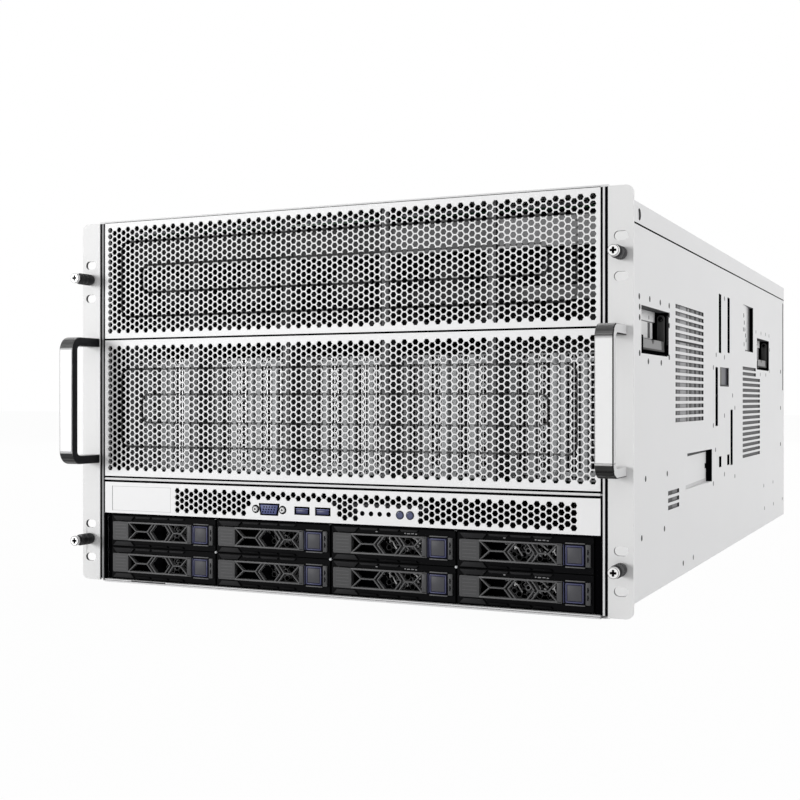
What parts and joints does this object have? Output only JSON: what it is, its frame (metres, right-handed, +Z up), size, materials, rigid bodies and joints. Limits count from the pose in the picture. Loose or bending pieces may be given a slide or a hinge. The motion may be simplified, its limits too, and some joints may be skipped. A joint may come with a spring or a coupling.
{
  "type": "rack server",
  "caption": "Tall rack server chassis with mesh front, handles, hot-swap drive carriers, fans, accelerator cards and plug-in power supplies.",
  "frame": {"origin": "centre of the part's box, on the underside of the base pan", "axes": "+X to the right seen from the front, the front faces -Y, +Z up"},
  "size_m": [0.4826, 0.953, 0.308],
  "materials": {
    "zinc_steel": "fine satin",
    "black_steel": "satin black",
    "ear_metal": "satin",
    "handle_metal": "brushed",
    "white_panel": "satin white",
    "port_parts": "moulded",
    "black_plastic": "moulded",
    "card_housing": "bright housing",
    "circuit_board": "solder mask",
    "button_plastic": "moulded",
    "carrier_plastic": "moulded black",
    "lever_plastic": "moulded",
    "release_plastic": "moulded",
    "screw_metal": "bright",
    "grip_plastic": "moulded grey",
    "supply_metal": "satin"
  },
  "bodies": {
    "chassis": {"base_pan": "zinc_steel", "side_wall_left": "zinc_steel", "side_wall_right": "zinc_steel", "top_cover": "zinc_steel", "rear_panel": "zinc_steel", "bay_frame": "zinc_steel", "drive_cage": "black_steel", "psu_cage": "zinc_steel", "rack_ears": "ear_metal", "front_handles": "handle_metal", "upper_mesh": "white_panel", "middle_mesh": "white_panel", "port_panel": "white_panel", "front_ports": "port_parts", "fan_frames": "black_plastic", "accelerator_cards": "card_housing", "mainboard": "circuit_board"},
    "carrier_1": {"carrier_1": "carrier_plastic"},
    "lever_1": {"lever_1": "lever_plastic"},
    "release_1": {"release_1": "release_plastic"},
    "carrier_2": {"carrier_2": "carrier_plastic"},
    "lever_2": {"lever_2": "lever_plastic"},
    "release_2": {"release_2": "release_plastic"},
    "carrier_3": {"carrier_3": "carrier_plastic"},
    "lever_3": {"lever_3": "lever_plastic"},
    "release_3": {"release_3": "release_plastic"},
    "carrier_4": {"carrier_4": "carrier_plastic"},
    "lever_4": {"lever_4": "lever_plastic"},
    "release_4": {"release_4": "release_plastic"},
    "carrier_5": {"carrier_5": "carrier_plastic"},
    "lever_5": {"lever_5": "lever_plastic"},
    "release_5": {"release_5": "release_plastic"},
    "carrier_6": {"carrier_6": "carrier_plastic"},
    "lever_6": {"lever_6": "lever_plastic"},
    "release_6": {"release_6": "release_plastic"},
    "carrier_7": {"carrier_7": "carrier_plastic"},
    "lever_7": {"lever_7": "lever_plastic"},
    "release_7": {"release_7": "release_plastic"},
    "carrier_8": {"carrier_8": "carrier_plastic"},
    "lever_8": {"lever_8": "lever_plastic"},
    "release_8": {"release_8": "release_plastic"},
    "power_button": {"power_button": "button_plastic"},
    "id_button": {"id_button": "button_plastic"},
    "fan_rotor_1": {"fan_rotor_1": "black_plastic"},
    "fan_rotor_2": {"fan_rotor_2": "black_plastic"},
    "fan_rotor_3": {"fan_rotor_3": "black_plastic"},
    "fan_rotor_4": {"fan_rotor_4": "black_plastic"},
    "fan_rotor_5": {"fan_rotor_5": "black_plastic"},
    "thumbscrew_1": {"thumbscrew_1": "screw_metal"},
    "thumbscrew_2": {"thumbscrew_2": "screw_metal"},
    "thumbscrew_3": {"thumbscrew_3": "screw_metal"},
    "thumbscrew_4": {"thumbscrew_4": "screw_metal"},
    "side_grip_1": {"side_grip_1": "grip_plastic"},
    "side_grip_2": {"side_grip_2": "grip_plastic"},
    "side_grip_3": {"side_grip_3": "grip_plastic"},
    "side_grip_4": {"side_grip_4": "grip_plastic"},
    "power_supply_1": {"power_supply_1": "supply_metal"},
    "power_supply_2": {"power_supply_2": "supply_metal"},
    "power_supply_3": {"power_supply_3": "supply_metal"},
    "power_supply_4": {"power_supply_4": "supply_metal"}
  },
  "joints": [
    {"name": "carrier_1_slide", "type": "slide", "parent": "chassis", "child": "carrier_1", "axis": [0, -1, 0], "range_m": [0, 0.165]},
    {"name": "lever_1_swing", "type": "hinge", "parent": "carrier_1", "child": "lever_1", "pos_m": [-0.206, -0.4363, 0.044], "axis": [0, 0, -1], "range_deg": [0, 60]},
    {"name": "release_1_push", "type": "slide", "parent": "carrier_1", "child": "release_1", "axis": [0, 1, 0], "range_m": [0, 0.002], "stiffness_N_per_m": 400},
    {"name": "carrier_2_slide", "type": "slide", "parent": "chassis", "child": "carrier_2", "axis": [0, -1, 0], "range_m": [0, 0.165]},
    {"name": "lever_2_swing", "type": "hinge", "parent": "carrier_2", "child": "lever_2", "pos_m": [-0.0996, -0.4363, 0.044], "axis": [0, 0, -1], "range_deg": [0, 60]},
    {"name": "release_2_push", "type": "slide", "parent": "carrier_2", "child": "release_2", "axis": [0, 1, 0], "range_m": [0, 0.002], "stiffness_N_per_m": 400},
    {"name": "carrier_3_slide", "type": "slide", "parent": "chassis", "child": "carrier_3", "axis": [0, -1, 0], "range_m": [0, 0.165]},
    {"name": "lever_3_swing", "type": "hinge", "parent": "carrier_3", "child": "lever_3", "pos_m": [0.0068, -0.4363, 0.044], "axis": [0, 0, -1], "range_deg": [0, 60]},
    {"name": "release_3_push", "type": "slide", "parent": "carrier_3", "child": "release_3", "axis": [0, 1, 0], "range_m": [0, 0.002], "stiffness_N_per_m": 400},
    {"name": "carrier_4_slide", "type": "slide", "parent": "chassis", "child": "carrier_4", "axis": [0, -1, 0], "range_m": [0, 0.165]},
    {"name": "lever_4_swing", "type": "hinge", "parent": "carrier_4", "child": "lever_4", "pos_m": [0.1132, -0.4363, 0.044], "axis": [0, 0, -1], "range_deg": [0, 60]},
    {"name": "release_4_push", "type": "slide", "parent": "carrier_4", "child": "release_4", "axis": [0, 1, 0], "range_m": [0, 0.002], "stiffness_N_per_m": 400},
    {"name": "carrier_5_slide", "type": "slide", "parent": "chassis", "child": "carrier_5", "axis": [0, -1, 0], "range_m": [0, 0.165]},
    {"name": "lever_5_swing", "type": "hinge", "parent": "carrier_5", "child": "lever_5", "pos_m": [-0.206, -0.4363, 0.0169], "axis": [0, 0, -1], "range_deg": [0, 60]},
    {"name": "release_5_push", "type": "slide", "parent": "carrier_5", "child": "release_5", "axis": [0, 1, 0], "range_m": [0, 0.002], "stiffness_N_per_m": 400},
    {"name": "carrier_6_slide", "type": "slide", "parent": "chassis", "child": "carrier_6", "axis": [0, -1, 0], "range_m": [0, 0.165]},
    {"name": "lever_6_swing", "type": "hinge", "parent": "carrier_6", "child": "lever_6", "pos_m": [-0.0996, -0.4363, 0.0169], "axis": [0, 0, -1], "range_deg": [0, 60]},
    {"name": "release_6_push", "type": "slide", "parent": "carrier_6", "child": "release_6", "axis": [0, 1, 0], "range_m": [0, 0.002], "stiffness_N_per_m": 400},
    {"name": "carrier_7_slide", "type": "slide", "parent": "chassis", "child": "carrier_7", "axis": [0, -1, 0], "range_m": [0, 0.165]},
    {"name": "lever_7_swing", "type": "hinge", "parent": "carrier_7", "child": "lever_7", "pos_m": [0.0068, -0.4363, 0.0169], "axis": [0, 0, -1], "range_deg": [0, 60]},
    {"name": "release_7_push", "type": "slide", "parent": "carrier_7", "child": "release_7", "axis": [0, 1, 0], "range_m": [0, 0.002], "stiffness_N_per_m": 400},
    {"name": "carrier_8_slide", "type": "slide", "parent": "chassis", "child": "carrier_8", "axis": [0, -1, 0], "range_m": [0, 0.165]},
    {"name": "lever_8_swing", "type": "hinge", "parent": "carrier_8", "child": "lever_8", "pos_m": [0.1132, -0.4363, 0.0169], "axis": [0, 0, -1], "range_deg": [0, 60]},
    {"name": "release_8_push", "type": "slide", "parent": "carrier_8", "child": "release_8", "axis": [0, 1, 0], "range_m": [0, 0.002], "stiffness_N_per_m": 400},
    {"name": "power_button_push", "type": "slide", "parent": "chassis", "child": "power_button", "axis": [0, 1, 0], "range_m": [0, 0.0015], "stiffness_N_per_m": 400},
    {"name": "id_button_push", "type": "slide", "parent": "chassis", "child": "id_button", "axis": [0, 1, 0], "range_m": [0, 0.0015], "stiffness_N_per_m": 400},
    {"name": "fan_1_spin", "type": "hinge", "parent": "chassis", "child": "fan_rotor_1", "pos_m": [-0.1766, -0.4005, 0.25067], "axis": [0, 1, 0], "continuous": true},
    {"name": "fan_2_spin", "type": "hinge", "parent": "chassis", "child": "fan_rotor_2", "pos_m": [-0.0883, -0.4005, 0.25067], "axis": [0, 1, 0], "continuous": true},
    {"name": "fan_3_spin", "type": "hinge", "parent": "chassis", "child": "fan_rotor_3", "pos_m": [0, -0.4005, 0.25067], "axis": [0, 1, 0], "continuous": true},
    {"name": "fan_4_spin", "type": "hinge", "parent": "chassis", "child": "fan_rotor_4", "pos_m": [0.0883, -0.4005, 0.25067], "axis": [0, 1, 0], "continuous": true},
    {"name": "fan_5_spin", "type": "hinge", "parent": "chassis", "child": "fan_rotor_5", "pos_m": [0.1766, -0.4005, 0.25067], "axis": [0, 1, 0], "continuous": true},
    {"name": "thumbscrew_1_turn", "type": "hinge", "parent": "chassis", "child": "thumbscrew_1", "pos_m": [-0.23255, -0.4395, 0.0363], "axis": [0, 1, 0], "continuous": true},
    {"name": "thumbscrew_2_turn", "type": "hinge", "parent": "chassis", "child": "thumbscrew_2", "pos_m": [-0.23255, -0.4395, 0.25857], "axis": [0, 1, 0], "continuous": true},
    {"name": "thumbscrew_3_turn", "type": "hinge", "parent": "chassis", "child": "thumbscrew_3", "pos_m": [0.23255, -0.4395, 0.0363], "axis": [0, 1, 0], "continuous": true},
    {"name": "thumbscrew_4_turn", "type": "hinge", "parent": "chassis", "child": "thumbscrew_4", "pos_m": [0.23255, -0.4395, 0.25857], "axis": [0, 1, 0], "continuous": true},
    {"name": "side_grip_1_fold", "type": "hinge", "parent": "chassis", "child": "side_grip_1", "pos_m": [-0.218, -0.2985, 0.224], "axis": [0, 1, 0], "range_deg": [0, 90]},
    {"name": "side_grip_2_fold", "type": "hinge", "parent": "chassis", "child": "side_grip_2", "pos_m": [-0.218, 0.2685, 0.224], "axis": [0, 1, 0], "range_deg": [0, 90]},
    {"name": "side_grip_3_fold", "type": "hinge", "parent": "chassis", "child": "side_grip_3", "pos_m": [0.218, -0.2985, 0.224], "axis": [0, -1, 0], "range_deg": [0, 90]},
    {"name": "side_grip_4_fold", "type": "hinge", "parent": "chassis", "child": "side_grip_4", "pos_m": [0.218, 0.2685, 0.224], "axis": [0, -1, 0], "range_deg": [0, 90]},
    {"name": "power_supply_1_slide", "type": "slide", "parent": "chassis", "child": "power_supply_1", "axis": [0, 1, 0], "range_m": [0, 0.18]},
    {"name": "power_supply_2_slide", "type": "slide", "parent": "chassis", "child": "power_supply_2", "axis": [0, 1, 0], "range_m": [0, 0.18]},
    {"name": "power_supply_3_slide", "type": "slide", "parent": "chassis", "child": "power_supply_3", "axis": [0, 1, 0], "range_m": [0, 0.18]},
    {"name": "power_supply_4_slide", "type": "slide", "parent": "chassis", "child": "power_supply_4", "axis": [0, 1, 0], "range_m": [0, 0.18]}
  ]
}
